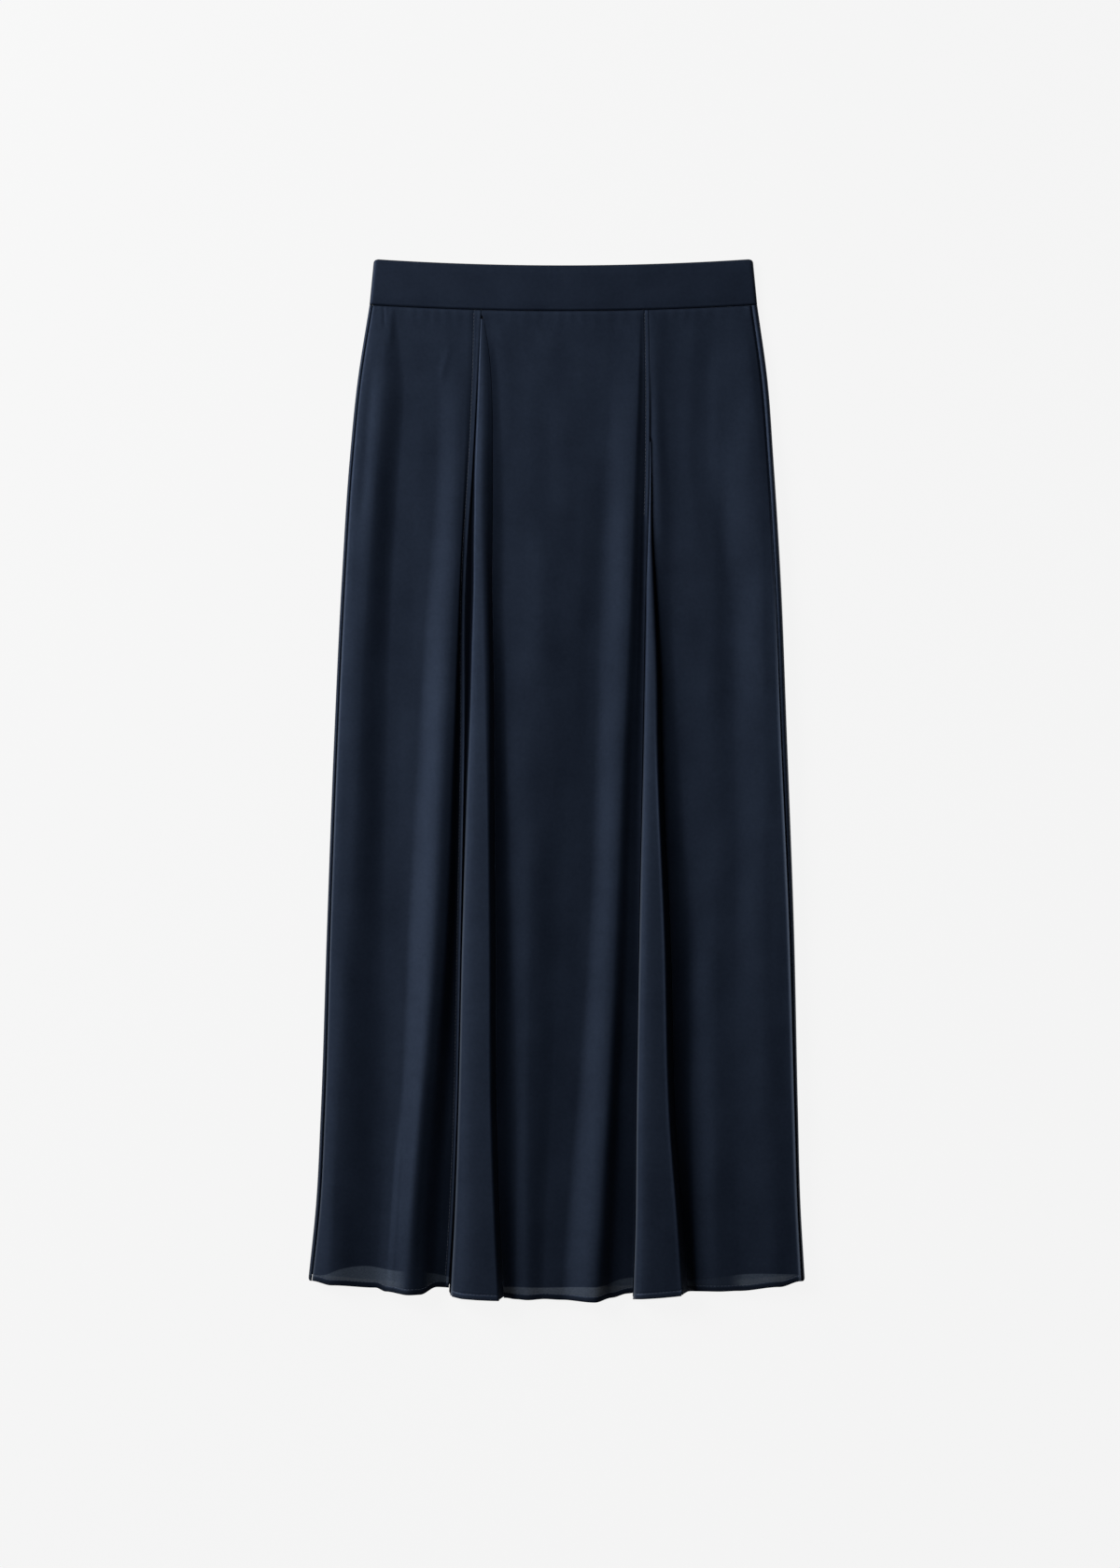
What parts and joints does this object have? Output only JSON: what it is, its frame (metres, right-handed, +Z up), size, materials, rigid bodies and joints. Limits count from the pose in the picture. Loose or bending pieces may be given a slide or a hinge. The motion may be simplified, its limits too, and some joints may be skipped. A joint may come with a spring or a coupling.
{
  "type": "a-line midi skirt",
  "caption": "Long a-line skirt laid flat: plain waistband, stitched-down pleat seams opening into pressed godets, soft folds, lining and narrow hem.",
  "frame": {"origin": "under the middle of the skirt's box, on the surface that it lies on", "axes": "+X to the viewer's right, +Y towards the waist, +Z up from the surface; the front faces up"},
  "size_m": [0.4466, 0.9383, 0.0199],
  "materials": {
    "crepe": "satin-faced crepe, soft sheen",
    "band_crepe": "the same crepe, interfaced, matter",
    "lining_satin": "plain lining satin",
    "zip_tape": "woven zip tape with a nylon coil"
  },
  "bodies": {
    "root": {"waistband": "band_crepe", "front_side_left": "crepe", "front_centre": "crepe", "front_side_right": "crepe", "pleat_left": "crepe", "pleat_right": "crepe", "back_left": "crepe", "back_right": "crepe", "lining_front": "lining_satin", "lining_back": "lining_satin", "zip": "zip_tape"}
  },
  "joints": []
}
